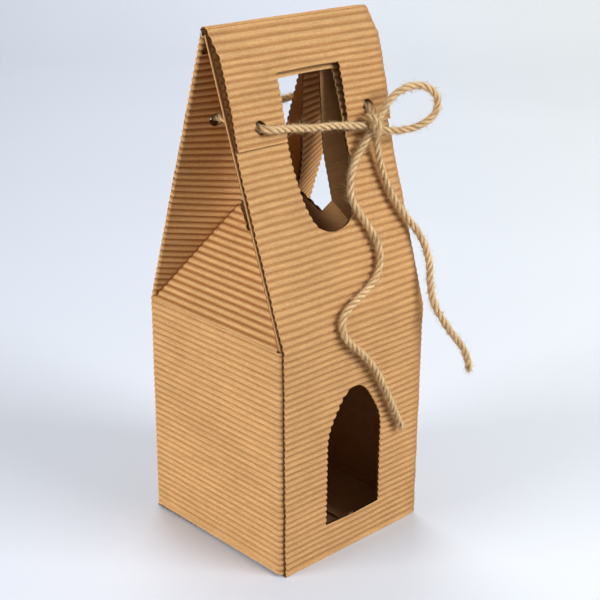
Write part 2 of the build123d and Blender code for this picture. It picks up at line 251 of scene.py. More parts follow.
def panel_faces(board, place, lines, valley_shade):
    """The fluted outside of a stretch of board, and its liner on every other line."""
    outer = [[place(s, x, sheet_height(w)) for x, w in zip(xs, waves)] for s, xs, waves in lines]
    # Painted shade: the valleys' colour darkens by the given share.
    crests = [[1 - valley_shade * (1 - w) for w in waves] for s, xs, waves in lines]
    board.grid(outer, FLUTED, crests, [[(x, s) for x in xs] for s, xs, waves in lines])
    sparse = [line for r, line in enumerate(lines) if r % 2 == 0 or r == len(lines) - 1]
    inner = [[place(s, x, 0) for x in reversed(xs)] for s, xs, waves in sparse]
    board.grid(inner, LINER_SIDE, None, [[(x, s) for x in reversed(xs)] for s, xs, waves in sparse])


def panel_end(board, place, lines, end):
    """The open edge of a stretch of board at its left end, 0, or its right end, -1. A dark sheet
    a little way into each tunnel is painted shade."""
    sheet, liner, shade_sheet = [], [], []
    order = 1 if end == 0 else -1
    for s, xs, waves in lines:
        top = sheet_height(waves[end])
        sheet.append([place(s, xs[end], h) for h in (top - SHEET, top)][::order])
        liner.append([place(s, xs[end], h) for h in (0, LINER)][::order])
        deep = xs[end] + order * min(TUNNEL, (xs[-1] - xs[0]) / 2)
        shade_sheet.append([place(s, deep, h) for h in (LINER * TUNNEL_SHADE_SHARE, top - SHEET * TUNNEL_SHADE_SHARE)])
    board.grid(sheet, CUT)
    board.grid(liner, CUT)
    board.grid(shade_sheet, TUNNEL_SHADE)


def panel(board, place, rows, blocks, press=None, valley_shade=1.0):
    """One panel. place(s, x, h) is a point at s up the panel, x along its flutes and h over the
    liner's inner face. rows holds (s, wave). blocks are (left, right, columns), the two ends of a
    stretch of board as functions of s. press(s, x) is 1 on full flutes and 0 where they are flat.
    The last argument says how much painted shade darkens the valleys."""
    for left, right, columns in blocks:
        lines = []
        for s, wave in rows:
            a, b = left(s), right(s)
            if b < a:
                b = a = (a + b) / 2
            xs = [a + (b - a) * c / columns for c in range(columns + 1)]
            waves = []
            for x in xs:
                uneven = WAVE_SHARE + wobble((x, s * 8, board.seed), 16.0, 0.14)
                waves.append(wave * uneven * (press(s, x) if press else 1))
            lines.append((s, xs, waves))
        panel_faces(board, place, lines, valley_shade)
        for end in (0, -1):
            panel_end(board, place, lines, end)


def edge_strip(board, place, s, start, stop):
    """The cut edge that ends a panel across its rise, along a flute's crest."""
    for heights in ((0, LINER), (BOARD - SHEET, BOARD)):
        rows = []
        for h in heights:
            xs = [start + (stop - start) * c / EDGE_COLUMNS for c in range(EDGE_COLUMNS + 1)]
            rows.append([place(s, x, h) for x in xs])
        board.grid(rows, CUT)


# Windows and holes, as half widths at a height

def between(before, a, b, after, t):
    """The value at t on a smooth curve from a to b, which also heeds their neighbours."""
    return 0.5 * (2 * a + (b - before) * t + (2 * before - 5 * a + 4 * b - after) * t * t
                  + (3 * a - before - 3 * b + after) * t ** 3)


def arch_table(window):
    """Points (height, half width) of the arch, from its spring line to its tip."""
    knots = [(1.0, 0.0), *window["shares"], (0.0, 1.0)]
    below = (knots[1][0], -knots[1][1])
    beyond = (-knots[-2][0], knots[-2][1])
    knots = [below, *knots, beyond]
    rise = window["tip"] - window["spring"]
    table = []
    for four in zip(knots, knots[1:], knots[2:], knots[3:]):
        for k in range(ARCH_STEPS):
            width_share, rise_share = (between(*values, k / ARCH_STEPS) for values in zip(*four))
            table.append((window["spring"] + rise * rise_share, window["half"] * width_share))
    table.append((window["tip"], 0.0))
    return table


for window in (LOWER_WINDOW, UPPER_WINDOW):
    window["table"] = arch_table(window)


def window_half(window, z):
    """The window's half width at height z, 0 outside it."""
    spring, flat = window["spring"], window["flat"]
    if min(spring, flat) <= z <= max(spring, flat):
        return window["half"]
    table = window["table"]
    for (z0, x0), (z1, x1) in zip(table, table[1:]):
        if min(z0, z1) <= z <= max(z0, z1) and z0 != z1:
            return x0 + (x1 - x0) * (z - z0) / (z1 - z0)
    return 0.0


def hole_half(z, centre=HOLE_Z):
    """A string hole's half width at height z, 0 outside it."""
    gap = HOLE_RADIUS ** 2 - (z - centre) ** 2
    return math.sqrt(gap) if gap > 0 else 0.0


# Strip: front roof, front body, bottom, back body, back roof, ridge and closing flap

class Run:
    """The strip's section, as points (y, z) with normals that turn at its folds."""

    def __init__(self, corners):
        self.length = [0.0]
        self.outs = []
        for p, q in zip(corners, corners[1:]):
            length = math.dist(p, q)
            self.length.append(self.length[-1] + length)
            self.outs.append(Vector(((q[1] - p[1]) / length, -(q[0] - p[0]) / length)))
        self.corners = corners

    def rows(self, first, flutes):
        """Rows of the stretches from corner first on, one for each count of flutes."""
        rows = []
        for k, count in enumerate(flutes):
            more = wave_rows(self.length[first + k], self.length[first + k + 1], count)
            rows += more if k == 0 else more[1:]
        return rows

    def at(self, s, h):
        """The point at s along the section and h over the liner, with the normal turning at folds."""
        k = 0
        while k < len(self.outs) - 1 and s > self.length[k + 1]:
            k += 1
        p, q = self.corners[k], self.corners[k + 1]
        share = (s - self.length[k]) / (self.length[k + 1] - self.length[k])
        y = p[0] + (q[0] - p[0]) * share
        z = p[1] + (q[1] - p[1]) * share
        out = self.outs[k].copy()
        for j in range(1, len(self.outs)):
            away = s - self.length[j]
            room = min(self.length[j] - self.length[j - 1], self.length[j + 1] - self.length[j])
            reach = min(FOLD_REACH, room / 2)
            if abs(away) < reach:
                t = 0.5 + 0.5 * away / reach
                out = self.outs[j - 1] * (1 - t) + self.outs[j] * t
                out.normalize()
                mitre = 1 / max(out.dot(self.outs[j]), out.dot(self.outs[j - 1]), 0.5)
                out *= 1 + (mitre - 1) * MITRE_SHARE
        return y + out[0] * h, z + out[1] * h


def roof_inner(z):
    """How far the back roof's liner stands from the middle at height z."""
    return liner_y - (z - fold_z) * roof_slope


def over_front(z, gap):
    """A point of the closing flap's liner, a gap over the front roof's crests."""
    return (-(roof_inner(z) + (BOARD + gap) / math.cos(roof_lean)), z)


front_top = HEIGHT - FRONT_TOP_DROP
flap_points = [over_front(z, gap) for z, gap in zip(FLAP_HEIGHTS, FLAP_GAPS)]
flap_lean = lean_to_ridge(-flap_points[0][0], flap_points[0][1], ridge_inner)
ridge_points = []
for i in range(RIDGE_TURNS + 1):
    angle = roof_lean + (math.pi - roof_lean - flap_lean) * i / RIDGE_TURNS
    ridge_points.append((ridge_inner * math.cos(angle), ridge_z + ridge_inner * math.sin(angle)))
body_points = [
    (-roof_inner(front_top), front_top), (-liner_y, fold_z), (-liner_y, BOARD),
    (liner_y, BOARD), (liner_y, fold_z)]
strip_run = Run([*body_points, *ridge_points, *flap_points])


def strip_height(s):
    return strip_run.at(s, 0)[1]


def strip_edge(z):
    return strip_half + max(z - fold_z, 0) * flare


def flute_drift(s, x):
    """How far a flute strays up or down the sheet. It stays put at the folds and the ends."""
    near = min(abs(s - mark) for mark in strip_run.length)
    return wobble((x, s * 0.5, 9.7), 17.0, 0.4) * smooth(near / 6)


def strip_place(s, x, h):
    """A point of the strip. The sheet is a little uneven, apart from its end and its foot."""
    y, z = strip_run.at(s + flute_drift(s, x), h)
    drift = wobble((x * 0.6, s, 3.1), 26.0, 0.35)
    settle = smooth(s / 30) * smooth((z - 1) / 8)
    return (x, y - drift * 0.6 * settle, z)


def front_edge(s, sign):
    """The edge of the front panels. The sheet lies a little askew, so its left edge leans in at the foot."""
    z = strip_height(s)
    askew = ASKEW * max(1 - z / fold_z, 0) if sign < 0 else 0
    return strip_edge(z) - askew


def bottom_edge(s, sign):
    y = strip_run.at(s, 0)[0]
    return strip_half - (ASKEW * (0.5 - y / DEPTH) if sign < 0 else 0)


def back_body_edge(s, sign):
    return liner_x - BEND


def back_roof_edge(s, sign):
    return liner_x + (strip_height(s) - fold_z) * flare


def strip_panel(board, first, flutes, edge, cut=None, holes=False):
    """A stretch of the strip, with the half width of its window as cut(z), and its string holes."""

    def inside(s):
        return cut(strip_height(s)) if cut else 0.0

    def hole(s):
        return hole_half(strip_height(s))

    blocks = []
    for sign in (-1, 1):
        def outside(s, sign=sign):
            return edge(s, sign) + wobble((50 * sign, s, 2.0), 9.0, 0.45)

        spans = [(inside, outside, HALF_COLUMNS)]
        if holes:
            spans = [
                (inside, lambda s: HOLE_X - hole(s), INNER_COLUMNS),
                (lambda s: HOLE_X + hole(s), outside, OUTER_COLUMNS)]
        for a, b, columns in spans:
            if sign > 0:
                blocks.append((a, b, columns))
            else:
                blocks.append((lambda s, b=b: -b(s), lambda s, a=a: -a(s), columns))

    def press(s, x):
        """The flutes are flattened a little along the right edge."""
        return EDGE_PRESS + (1 - EDGE_PRESS) * smooth((edge(s, 1) - x) / EDGE_CRUSH)

    panel(board, strip_place, strip_run.rows(first, flutes), blocks, press, BODY_VALLEY_SHADE)


def build_strip(board):
    def upper(z):
        return window_half(UPPER_WINDOW, z)

    def lower(z):
        return window_half(LOWER_WINDOW, z)

    def flap_cut(z):
        return FLAP_WINDOW_HALF if z < FLAP_WINDOW_TOP else 0.0

    strip_panel(board, 0, [FRONT_FLUTES], front_edge, upper, True)
    edge_strip(board, strip_place, 0.0, -strip_edge(front_top), strip_edge(front_top))
    strip_panel(board, 1, [BODY_FLUTES], front_edge, lower)
    strip_panel(board, 2, [BOTTOM_FLUTES], bottom_edge)
    strip_panel(board, 3, [BODY_FLUTES], back_body_edge)
    strip_panel(board, 4, [ROOF_FLUTES], back_roof_edge, upper, True)
    strip_panel(board, len(body_points), [1] * RIDGE_TURNS + list(FLAP_FLUTES), front_edge, flap_cut, True)
    end = strip_run.length[-1]
    edge = strip_edge(FLAP_HEIGHTS[-1])
    for sign in (-1, 1):
        edge_strip(board, strip_place, end, sign * FLAP_WINDOW_HALF, sign * edge)


# Sides: return, side panel, bottom flap, gusset and webs. flip is 1 for the left side and -1 for the right.

side_front = -half_d + 2 * BOARD - GLUE_SINK
side_back = liner_y
side_middle = (side_front + side_back) / 2
side_foot = 2 * BOARD - GLUE_SINK
front_end = side_front + SIDE_FOLD
back_end = side_back - SIDE_FOLD


def turned(point, flip):
    return (flip * point[0], point[1], point[2])


def to_front(point):
    """The mirror image at the front of a point at the back."""
    return Vector((point[0], 2 * side_middle - point[1], point[2]))


class Path:
    """A path in plan with rounded turns. at(t, h) is a point h to its left."""

    def __init__(self, corners, radius):
        self.points = [Vector(corners[0])]
        for a, b, c in zip(corners, corners[1:], corners[2:]):
            a, b, c = Vector(a), Vector(b), Vector(c)
            start = b - (b - a).normalized() * radius
            stop = b + (c - b).normalized() * radius * 0.999
            for i in range(BEND_STEPS + 1):
                t = i / BEND_STEPS
                self.points.append((1 - t) ** 2 * start + 2 * t * (1 - t) * b + t * t * stop)
        self.points.append(Vector(corners[-1]))
        self.length = [0.0]
        for p, q in zip(self.points, self.points[1:]):
            self.length.append(self.length[-1] + (q - p).length)

    def at(self, t, h):
        k = 0
        while k < len(self.points) - 2 and t > self.length[k + 1]:
            k += 1
        p, q = self.points[k], self.points[k + 1]
        share = (t - self.length[k]) / (self.length[k + 1] - self.length[k])
        outs = []
        for j in (k, k + 1):
            before = self.points[max(j - 1, 0)]
            after = self.points[min(j + 1, len(self.points) - 1)]
            way = (after - before).normalized()
            outs.append(Vector((-way[1], way[0])))
        out = (outs[0] * (1 - share) + outs[1] * share).normalized()
        return p + (q - p) * share + out * h


side_path = Path(
    [(-liner_x + RETURN_WIDTH, side_front), (-liner_x, side_front), (-liner_x, side_back),
     (-liner_x + BEND, side_back)], BEND)


def build_wall(board, flip):
    """The side panel with its return at the front and its bend at the back. Flutes are pressed at folds."""
    marks = side_path.length

    def place(s, t, h):
        x, y = side_path.at(min(max(t, 0), marks[-1]), h)
        drift = wobble((t, s * 0.8, 20.0 * flip), 24.0, 0.4)
        return turned((x + drift * 0.5, y, s), flip)

    rows = wave_rows(BOARD, fold_z, BODY_FLUTES)
    for a, b in zip(marks, marks[1:]):
        columns = max(1, round((b - a) / WALL_COLUMN))
        xs = [a + (b - a) * c / columns for c in range(columns + 1)]
        presses = [FOLD_PRESS if c in (0, columns) else 1.0 for c in range(columns + 1)]
        outer, crests = [], []
        for s, wave in rows:
            outer.append([place(s, x, sheet_height(1 - (1 - wave) * press)) for x, press in zip(xs, presses)])
            # Painted shade in the valleys, as on the strip.
            crests.append([1 - (1 - wave) * BODY_VALLEY_SHADE] * len(xs))
        flows = [[(x, s) for x in xs] for s, wave in rows]
        board.grid(outer, FLUTED, crests, flows)
        inner = [[place(s, x, 0) for x in xs] for s, wave in rows[::2]]
        board.grid(inner, LINER_SIDE, None, flows[::2])


def build_bottom_flap(board, flip):
    """The flap at the foot of the side panel, tucked in over the bottom."""

    def place(s, y, h):
        return turned((-liner_x + s, y, side_foot - h), flip)

    rows = wave_rows(-LINER / 2, BOTTOM_FLAP, BOTTOM_FLAP_FLUTES)
    panel(board, place, rows, [(lambda s: front_end, lambda s: back_end, BOTTOM_FLAP_COLUMNS)])


# Gable folds. The gusset leans in from the side panel and meets a web along a slanting crease at each
# end. The webs hang on the roof's side edges. The back web is built, and mirrored for the front one.

gusset_lean = math.radians(GUSSET_LEAN)
gusset_up = Vector((math.cos(gusset_lean), 0, math.sin(gusset_lean)))
gusset_out = Vector((-math.sin(gusset_lean), 0, math.cos(gusset_lean)))
edge_way = Vector((-flare, -roof_slope, 1)).normalized()
crease_slope = -edge_way[1] / (1 - edge_way[0] * gusset_up[0] - edge_way[2] * gusset_up[2])
gusset_height = crease_slope * WEB_WIDTH
fold_corner = Vector((-liner_x, side_back - FOLD_GAP, fold_z))
gusset_depth = 2 * (fold_corner[1] - side_middle)


def square_to_edge(way):
    return (way - edge_way * way.dot(edge_way)).normalized()


web_turn = math.radians(WEB_TOP_TURN)
crease_way = Vector((crease_slope * gusset_up[0], -1, crease_slope * gusset_up[2])).normalized()
web_foot_way = square_to_edge(crease_way)
web_top_way = square_to_edge(Vector((math.cos(web_turn), -math.sin(web_turn), 0)))
web_rows = wave_rows(0, gusset_height, GUSSET_FLUTES)
web_rows += wave_rows(gusset_height, WEB_LENGTH, WEB_FLUTES)[1:]
web_hole_v = (HOLE_Z - fold_z) / edge_way[2]
web_hole_u = liner_x + flare * (HOLE_Z - fold_z) - HOLE_X


def notch_half(s):
    """Half the width of the notch in the gusset's top, at s up the gusset."""
    low = gusset_height - NOTCH_DEPTH
    half = NOTCH_WIDTH / 2
    top_half = gusset_depth / 2 - WEB_WIDTH
    if s >= low:
        return half + (top_half - half) * (s - low) / NOTCH_DEPTH
    if s >= low - NOTCH_ROUND:
        return half * math.sqrt(max(1 - ((low - s) / NOTCH_ROUND) ** 2, 0))
    return 0.0


def build_gusset(board, flip):
    """The gusset, crushed along its creases and parted in the middle by its notch."""

    def place(s, u, h):
        drift = wobble((u, s, 41.0 * flip), 22.0, 0.35)
        point = fold_corner - Vector((0, u, 0)) + gusset_up * s + gusset_out * (h + drift * 0.4)
        return turned(point, flip)

    def press(s, u):
        near = min(u, gusset_depth - u) - s / crease_slope
        return smooth(near / CRUSH)

    middle = gusset_depth / 2
    blocks = [
        (lambda s: s / crease_slope, lambda s: middle - notch_half(s), GUSSET_COLUMNS),
        (lambda s: middle + notch_half(s), lambda s: gusset_depth - s / crease_slope, GUSSET_COLUMNS)]
    panel(board, place, wave_rows(0, gusset_height, GUSSET_FLUTES), blocks, press)


def web_way(v):
    """The way from the roof's edge across a web, at v up the edge, and the way square to the web."""
    t = smooth((v - gusset_height) / (WEB_LENGTH - gusset_height))
    way = (web_foot_way * (1 - t) + web_top_way * t).normalized()
    return way, way.cross(edge_way).normalized()


def web_free_edge(v):
    uneven = wobble((5.0, v, 77.0), 10.0, 0.5) if v > gusset_height else 0
    return min(v / crease_slope, WEB_WIDTH) + uneven


def build_webs(board, flip):
    """Both webs, each with its string hole."""

    def place(v, u, h):
        way, normal = web_way(v)
        drift = wobble((u, v, 63.0 * flip), 24.0, 0.5) * smooth(u / 12)
        return fold_corner + edge_way * v + way * u + normal * (h + drift * 0.6)

    def back_place(v, u, h):
        return turned(place(v, u, h), flip)

    def front_place(v, u, h):
        return turned(to_front(place(v, u, h)), flip)

    def back_press(v, u):
        return smooth((v / crease_slope - u) / CRUSH) if v < gusset_height else 1.0

    def front_press(v, u):
        return back_press(v, u) * smooth(u / CRUSH)

    def hole(v):
        return hole_half(v, web_hole_v)

    blocks = [
        (lambda v: 0.0, lambda v: min(web_hole_u - hole(v), web_free_edge(v)), WEB_COLUMNS),
        (lambda v: min(web_hole_u + hole(v), web_free_edge(v)), web_free_edge, WEB_COLUMNS)]
    panel(board, back_place, web_rows, blocks, back_press)
    panel(board, front_place, web_rows, blocks, front_press)


def build_edge_folds(board, flip):
    """The folds along the side edges of the roof. The flutes go round the back one, and are pressed in front."""
    fold_rows = web_rows + wave_rows(WEB_LENGTH, WEB_LENGTH + RETURN_WIDTH, RETURN_FLUTES)[1:]
    for pressed in (False, True):
        rows, crests, flows = [], [], []
        for v, wave in fold_rows:
            way, normal = web_way(v)
            reach = PRESSED_FOLD + PRESSED_WAVE * wave if pressed else sheet_height(wave)
            ring = []
            for k in range(ROUND_STEPS + 1):
                angle = math.radians(EDGE_FOLD_TURN) * k / ROUND_STEPS
                spoke = normal * math.cos(angle) - way * math.sin(angle)
                point = fold_corner + edge_way * v + spoke * reach
                ring.append(turned(to_front(point) if pressed else point, flip))
            rows.append(ring)
            crests.append([PRESSED_CREST if pressed else wave] * len(ring))
            flows.append([(-k * 0.5, v) for k in range(len(ring))])
        board.grid(rows, FLUTED, crests, flows)


def build_roof_return(board, flip):
    """The edge of board that lies between the front roof and the front web."""
    top = fold_corner[2] + WEB_LENGTH * edge_way[2]
    rows = []
    for z in (fold_z, (fold_z + top) / 2, top):
        back = -(roof_inner(z) - (side_front + liner_y))
        front = back - BOARD / math.cos(roof_lean) + RETURN_SINKS[0]
        back -= RETURN_SINKS[1]
        outer = -liner_x - flare * (z - fold_z) + RETURN_SETBACK
        inner = -liner_x + RETURN_WIDTH
        section = ((inner, front), (outer, front), (outer, back), (inner, back))
        rows.append([turned((x, y, z), flip) for x, y in section])
    board.grid(rows, LINER_SIDE)


def build_side_folds(board, flip):
    """The rounded folds at the foot and the shoulder of the side."""
    radius = BOARD * SIDE_FOLD_SHARE
    first, last = (math.radians(turn) for turn in SIDE_FOLD_TURNS)
    for level in (side_foot, fold_z):
        rows = []
        for y in (front_end, (front_end + back_end) / 2, back_end):
            ring = []
            for k in range(ROUND_STEPS + 1):
                angle = first + (last - first) * k / ROUND_STEPS
                point = (-liner_x + math.cos(angle) * radius, y, level + math.sin(angle) * radius)
                ring.append(turned(point, flip))
            rows.append(ring)
        board.grid(rows, FLUTED, [[PRESSED_CREST] * len(ring) for ring in rows])


def build_side(board, flip):
    build_wall(board, flip)
    build_bottom_flap(board, flip)
    build_gusset(board, flip)
    build_webs(board, flip)
    build_edge_folds(board, flip)
    build_roof_return(board, flip)
    build_side_folds(board, flip)


carton_pieces = []
strip_board = Board(0.3)
build_strip(strip_board)
carton_pieces.append(strip_board.make("carton_strip"))
for flip, name in ((1, "carton_left_side"), (-1, "carton_right_side")):
    side_board = Board(1.0 + 0.5 * flip)
    build_side(side_board, flip)
    carton_pieces.append(side_board.make(name))


# Materials

def node_tree(name):
    material = bpy.data.materials.new(name)
    material.use_nodes = True
    tree = material.node_tree
    shader = tree.nodes["Principled BSDF"]
    return material, tree, shader


def link(tree, a, b):
    tree.links.new(a, b)


def attribute(tree, name):
    node = tree.nodes.new("ShaderNodeAttribute")
    node.attribute_name = name
    return node


def own_place(tree):
    return tree.nodes.new("ShaderNodeTexCoord").outputs["Object"]


def noise_over(tree, place, scale, detail, rough, stretch=None):
    """Noise over a place, stretched by a factor for each axis where one is given."""
    if stretch:
        mapping = tree.nodes.new("ShaderNodeMapping")
        mapping.inputs["Scale"].default_value = stretch
        link(tree, place, mapping.inputs["Vector"])
        place = mapping.outputs["Vector"]
    texture = tree.nodes.new("ShaderNodeTexNoise")
    texture.inputs["Scale"].default_value = scale
    texture.inputs["Detail"].default_value = detail
    texture.inputs["Roughness"].default_value = rough
    link(tree, place, texture.inputs["Vector"])
    return texture.outputs["Fac"]


def ramp(tree, source, stops):
    node = tree.nodes.new("ShaderNodeValToRGB")
    elements = node.color_ramp.elements
    while len(elements) < len(stops):
        elements.new(0.5)
    for element, (at, colour) in zip(elements, stops):
        element.position = at
        element.color = (*colour, 1)
    link(tree, source, node.inputs["Fac"])
    return node.outputs["Color"]


def mix(tree, fac, a, b, blend="MIX"):
    node = tree.nodes.new("ShaderNodeMix")
    node.data_type = "RGBA"
    node.blend_type = blend
    for socket, value in ((node.inputs["Factor"], fac), (node.inputs["A"], a), (node.inputs["B"], b)):
        if isinstance(value, (int, float)):
            socket.default_value = value
        elif isinstance(value, tuple):
            socket.default_value = (*value, 1)
        else:
            link(tree, value, socket)
    return node.outputs["Result"]


def mottled(tree, share, colour, layers):
    """The colour with layers of noise over it. A layer holds the noise, its stops and their two tones."""
    for fac, low, high, dark, light in layers:
        tone = ramp(tree, fac, [(low, dark), (high, light)])
        colour = mix(tree, share, colour, mix(tree, 1.0, colour, tone, "MULTIPLY"))
    return colour


def bumped(tree, shader, height, strength, depth):
    bump = tree.nodes.new("ShaderNodeBump")
    bump.inputs["Strength"].default_value = strength
    bump.inputs["Distance"].default_value = depth
    link(tree, height, bump.inputs["Height"])
    link(tree, bump.outputs["Normal"], shader.inputs["Normal"])


def linear(r, g, b):
    """A colour given as sRGB 0 to 255, as the shader's linear values."""
    out = []
    for c in (r, g, b):
        c /= 255
        out.append(c / 12.92 if c <= 0.04045 else ((c + 0.055) / 1.055) ** 2.4)
    return tuple(out)


def kraft(name, valley, crest, fleck=0.7, rough=0.88):
    """Unbleached kraft paper, with painted shade in the valleys and a painted highlight on the crests, and
    clouds, streaks and fibres along the flutes.
    """
    material, tree, shader = node_tree(name)
    flow = attribute(tree, "flow").outputs["Vector"]
    clouds = noise_over(tree, flow, 45.0, 4.0, 0.6)
    streaks = noise_over(tree, flow, 1.0, 4.0, 0.65, (60, 1300, 1))
    fibres = noise_over(tree, flow, 1.0, 3.0, 0.7, (700, 4600, 1))
    grain = noise_over(tree, flow, 1.0, 4.0, 0.7, (1100, 4200, 1))
    middle = tuple((a + b) / 2 for a, b in zip(valley, crest))
    # Painted shade in the valleys and a painted highlight on the crests, set by the height in the relief.
    plain = ramp(tree, attribute(tree, "crest").outputs["Fac"], [(0.0, valley), (0.5, middle), (0.9, crest)])
    colour = mottled(tree, fleck, plain, (
        (clouds, 0.32, 0.70, (0.88, 0.87, 0.85), (1.05, 1.05, 1.05)),
        (streaks, 0.34, 0.68, (0.80, 0.77, 0.73), (1.08, 1.08, 1.07)),
        (fibres, 0.34, 0.68, (0.64, 0.59, 0.52), (1.16, 1.16, 1.15)),
    ))
    link(tree, colour, shader.inputs["Base Color"])
    shader.inputs["Roughness"].default_value = rough
    shader.inputs["Specular IOR Level"].default_value = 0.2
    bumped(tree, shader, grain, 0.5, 0.12 * MM)
    return material


def jute():
    """Jute: pale straw strands with painted shade in the gaps, a painted highlight outside, and fibres along
    each strand.
    """
    material, tree, shader = node_tree("jute_fibre")
    flow = attribute(tree, "flow").outputs["Vector"]
    clouds = noise_over(tree, own_place(tree), 110.0, 3.0, 0.6)
    fibres = noise_over(tree, flow, 1.0, 3.0, 0.7, (420, 5200, 1))
    # Painted shade in the gaps between strands and a painted highlight on their outer faces.
    stops = [(0.0, linear(132, 92, 50)), (0.35, linear(230, 184, 130)), (1.0, linear(254, 226, 180))]
    plain = ramp(tree, attribute(tree, "crest").outputs["Fac"], stops)
    colour = mottled(tree, 0.85, plain, (
        (clouds, 0.3, 0.7, (0.84, 0.82, 0.78), (1.08, 1.08, 1.07)),
        (fibres, 0.34, 0.66, (0.68, 0.63, 0.56), (1.12, 1.12, 1.1)),
    ))
    link(tree, colour, shader.inputs["Base Color"])
    shader.inputs["Roughness"].default_value = 0.8
    shader.inputs["Specular IOR Level"].default_value = 0.25
    bumped(tree, shader, fibres, 0.7, 0.2 * MM)
    return material


kraft_materials = (
    # Fluted faces: painted shade in the valleys, a painted highlight on the crests.
    kraft("kraft_flutes", linear(170, 113, 61), linear(231, 184, 128)),
    kraft("kraft_liner", linear(190, 144, 96), linear(190, 144, 96), rough=0.75),
    kraft("kraft_cut", linear(112, 75, 42), linear(112, 75, 42), fleck=0.8),
    # Painted shade: the dark sheet a little way inside each flute tunnel.
    kraft("painted_tunnel_shade", linear(34, 20, 11), linear(34, 20, 11)),
)
for piece in carton_pieces:
    for material in kraft_materials:
        piece.data.materials.append(material)
    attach(piece, "root")
    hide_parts("carton")


# Twine: three strands laid round each route, and loose fibres

TWINE = 3.4
STRAND = 0.83
STRANDS = 3
STRAND_SIDES = 9
LAY = 12.0
STEP = 0.6
# Within this share of the twine's radius a strand takes its darkest colour, painted shade in the gaps.
GAP_SHADE_SHARE = 0.45
LAY_SWAY = 0.35
FRAY = 4.0
FRAY_ROOT = 1.5
FRAY_REACH = (2.0, 5.0)
FRAY_FIBRES = 90
FRAY_RADIUS = 0.08
HAIRS_PER_MM = 18
HAIR_SHORTEST = 0.5
HAIR_RANGE = 3.2
HAIR_RADIUS = 0.085
HAIR_SIDES = 3
HAIR_TAPER = (1.0, 0.9, 0.8, 0.6, 0.3)

tie_route = [
    (26.5, -25.6, 208.2), (19.0, -24.2, 209.0), (8.5, -23.4, 210.8), (-5.0, -23.0, 211.6),
    (-16.5, -22.6, 213.4), (-25.5, -22.7, 214.4), (-33.9, -23.6, 215.4), (-34.2, -15.0, 215.6),
    (-33.9, -4.5, 215.4), (-34.2, 4.0, 215.6), (-33.9, 11.8, 215.4), (-34.2, 20.4, 215.6),
    (-25.5, 20.3, 215.4), (-12.5, 19.8, 214.8), (2.0, 19.7, 215.2), (14.5, 19.9, 214.8),
    (25.5, 20.3, 215.4), (34.1, 20.4, 215.6), (33.9, 11.8, 215.4), (34.1, 3.0, 215.6),
    (33.9, -7.0, 215.4), (34.1, -15.0, 215.6), (33.8, -23.4, 214.8), (31.6, -27.2, 210.0),
]
loop_route = [
    (31.8, -28.0, 210.4), (34.8, -28.9, 214.2), (37.4, -30.0, 219.6), (43.0, -32.6, 224.6),
    (51.4, -36.6, 226.3), (58.3, -39.9, 222.6), (60.9, -41.0, 215.7), (57.8, -39.6, 209.0),
    (50.4, -36.0, 205.2), (43.3, -32.7, 204.2), (37.2, -29.8, 204.8), (32.6, -28.2, 206.0),
]
first_tail_route = [
    (29.2, -27.4, 206.0), (25.2, -26.6, 200.6), (18.6, -27.4, 194.0), (12.8, -29.8, 186.8),
    (9.6, -33.0, 177.2), (14.8, -35.9, 167.6), (20.4, -38.8, 158.6), (22.4, -41.8, 149.6),
    (18.6, -44.5, 140.8), (10.6, -46.4, 136.0), (1.2, -47.6, 132.8), (-8.4, -49.0, 129.0),
    (-12.6, -50.8, 123.0), (-9.8, -52.2, 115.8), (-1.2, -52.0, 108.2), (8.6, -52.4, 97.6),
    (16.6, -51.9, 84.4), (23.6, -52.4, 70.2), (30.2, -52.0, 57.9),
]
second_tail_route = [
    (31.2, -27.8, 205.0), (32.2, -27.9, 196.9), (33.2, -29.8, 188.1), (35.4, -32.9, 177.6),
    (39.6, -36.0, 168.2), (46.0, -39.8, 158.6), (50.4, -44.0, 150.0), (50.6, -48.2, 140.8),
    (47.2, -52.2, 131.8), (45.2, -55.8, 122.9), (48.7, -59.2, 113.8), (55.0, -62.6, 103.3),
    (62.4, -65.1, 93.8), (64.5, -66.0, 84.1),
]

# Knot: three turns of twine wrapped over the crossing
KNOT = Vector((30.6, -27.4, 208.0))
KNOT_WRAPS = (
    dict(radius=4.3, turn=(0, 74, 14), place=(-1.6, 0.2, 0.2), start=0.0),
    dict(radius=4.2, turn=(20, 96, -12), place=(1.5, -0.4, -0.4), start=2.6),
    dict(radius=3.5, turn=(62, 24, 30), place=(0.4, -1.2, 0.3), start=1.6),
)
WRAP_STEPS = 60
WRAP_SWAY = 0.8


def route_points(route, name):
    """Points close together on the route's smooth spline, in metres."""
    curve = bpy.data.curves.new(name + "_route", "CURVE")
    curve.dimensions = "3D"
    curve.resolution_u = 24
    spline = curve.splines.new("NURBS")
    spline.points.add(len(route) - 1)
    for point, place in zip(spline.points, route):
        point.co = (*(Vector(place) * MM), 1)
    spline.order_u = 3
    spline.use_endpoint_u = True
    holder = bpy.data.objects.new(name + "_route", curve)
    mesh = bpy.data.meshes.new_from_object(holder)
    points = [v.co.copy() for v in mesh.vertices]
    bpy.data.objects.remove(holder)
    bpy.data.curves.remove(curve)
    bpy.data.meshes.remove(mesh)
    return points


def line_length(line):
    return sum((b - a).length for a, b in zip(line, line[1:]))


def even_points(points, step):
    """The same line with points an even step apart."""
    out = [points[0].copy()]
    left = step
    for a, b in zip(points, points[1:]):
        length = (b - a).length
        done = 0.0
        while length - done >= left:
            done += left
            out.append(a + (b - a) * (done / length))
            left = step
        left -= length - done
    out.append(points[-1].copy())
    return out


def side_frames(points):
    """A steady pair of cross directions at each point."""
    frames = []
    side = None
    for i in range(len(points)):
        way = (points[min(i + 1, len(points) - 1)] - points[max(i - 1, 0)]).normalized()
        if side is None:
            side = way.orthogonal().normalized()
        side = (side - way * side.dot(way)).normalized()
        frames.append((side.copy(), way.cross(side)))
    return frames


def spoke(pair, angle):
    """The direction at an angle round a line, from its pair of cross directions."""
    return pair[0] * math.cos(angle) + pair[1] * math.sin(angle)


def any_way(pair):
    return pair[0] * random.uniform(-1, 1) + pair[1] * random.uniform(-1, 1)


